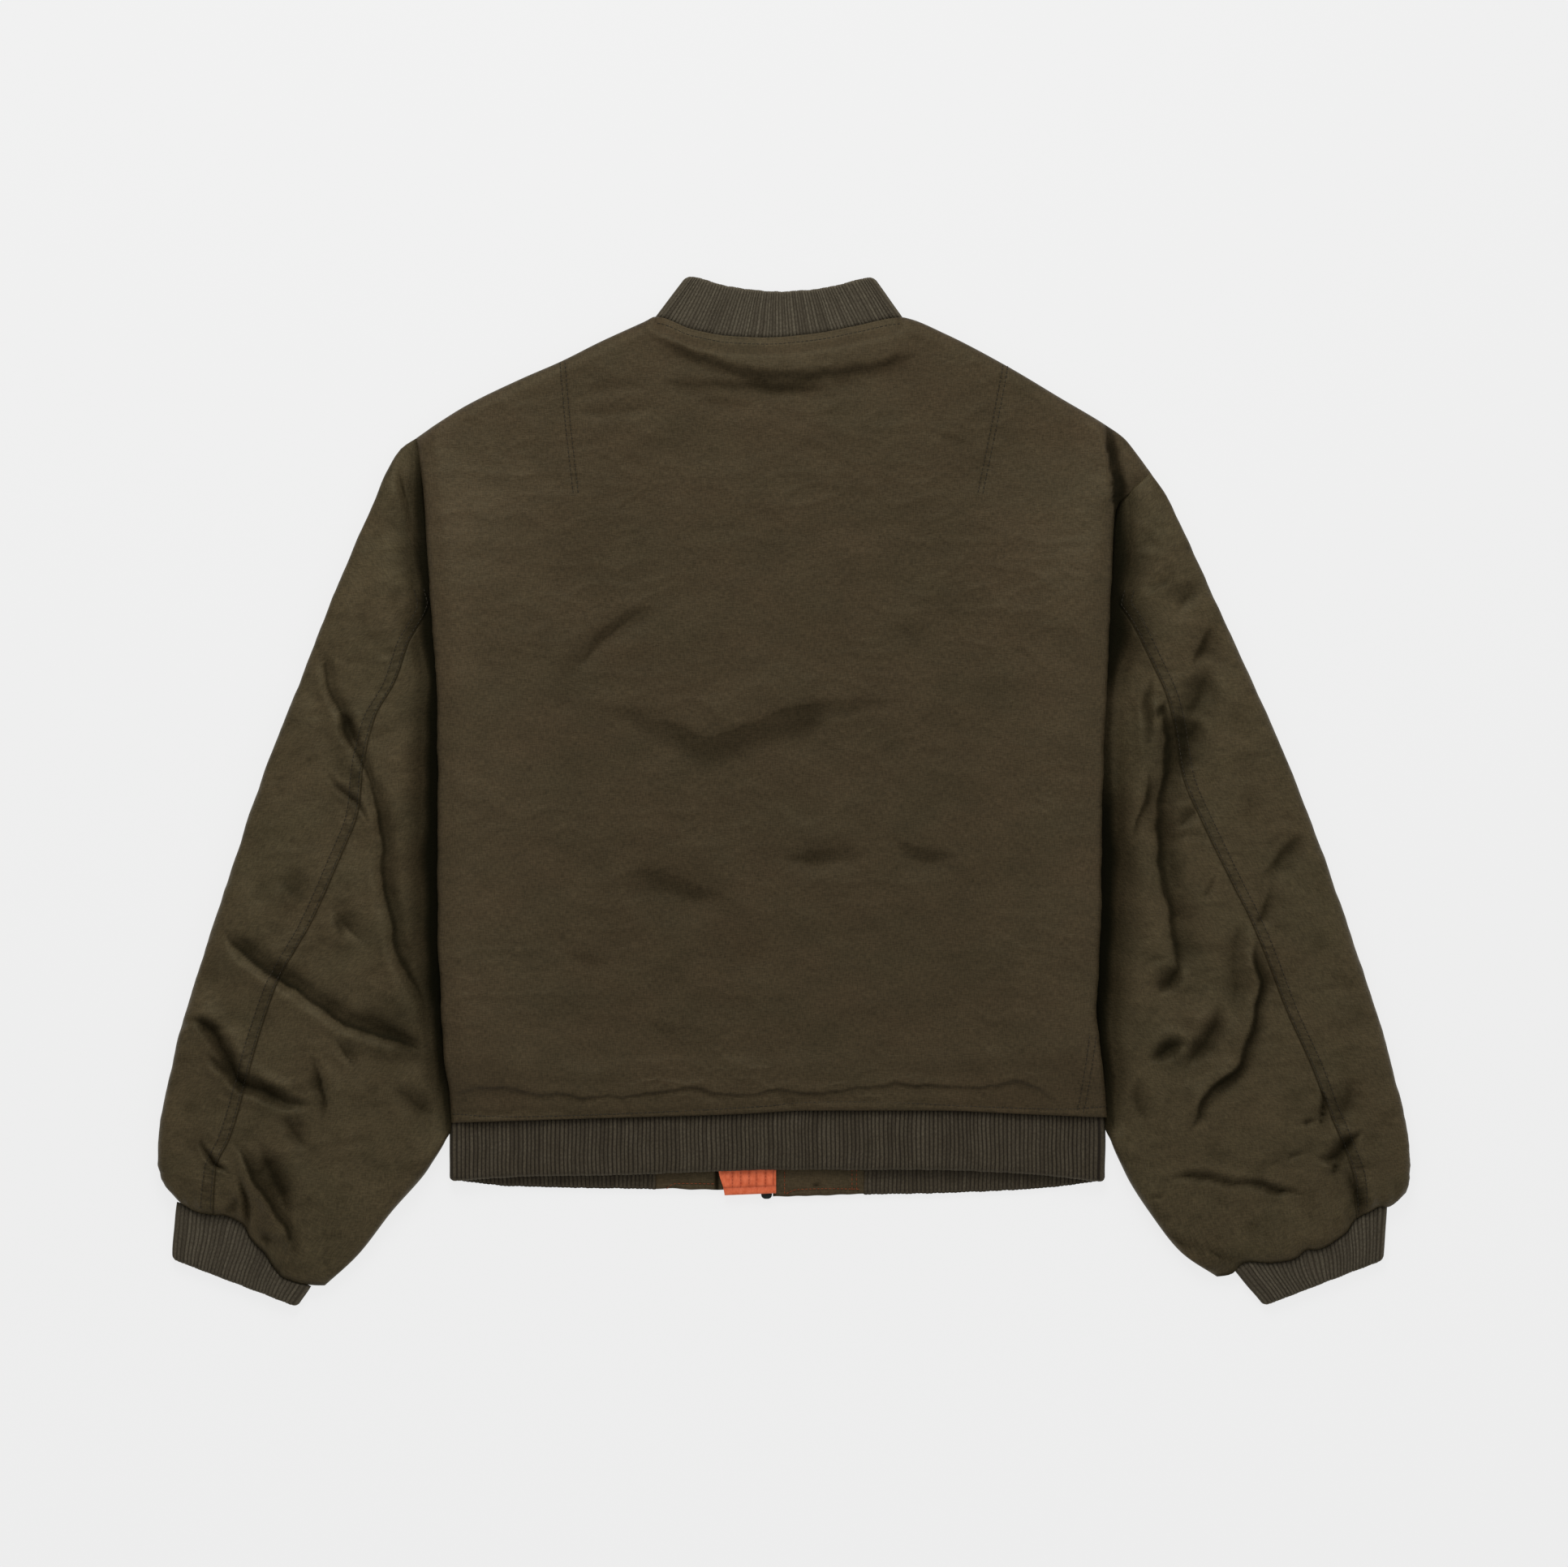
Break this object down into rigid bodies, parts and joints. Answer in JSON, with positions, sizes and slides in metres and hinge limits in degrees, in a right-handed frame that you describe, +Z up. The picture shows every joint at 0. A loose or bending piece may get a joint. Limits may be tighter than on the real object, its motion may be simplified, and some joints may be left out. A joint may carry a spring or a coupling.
{
  "type": "bomber jacket laid flat",
  "caption": "Padded bomber jacket with ribbed collar, cuffs and hem, laid flat with its back up and its sleeves drawn down at its sides.",
  "frame": {"origin": "centre of the outline, on the surface that the jacket lies on", "axes": "+Z up from that surface, +Y from the hem to the collar, -X to the wearer's left"},
  "size_m": [0.9565, 0.7861, 0.0306],
  "materials": {
    "shell": "olive woven nylon, soft sheen, padded",
    "rib": "olive doubled rib knit, matte",
    "flap": "orange channel-quilted nylon",
    "zip_tape": "dark woven zip tape",
    "slider": "dull nickel slider"
  },
  "bodies": {
    "root": {"back_panel": "shell", "front_left": "shell", "front_right": "shell", "sleeve_left_top": "shell", "sleeve_left_under": "shell", "sleeve_right_top": "shell", "sleeve_right_under": "shell", "collar_rib": "rib", "hem_rib": "rib", "cuff_left": "rib", "cuff_right": "rib", "placket_left": "shell", "placket_right": "shell", "storm_flap": "flap", "zip_tape_left": "zip_tape", "zip_tape_right": "zip_tape", "zip_box": "zip_tape", "zip_slider": "slider", "zip_pull": "zip_tape"}
  },
  "joints": []
}
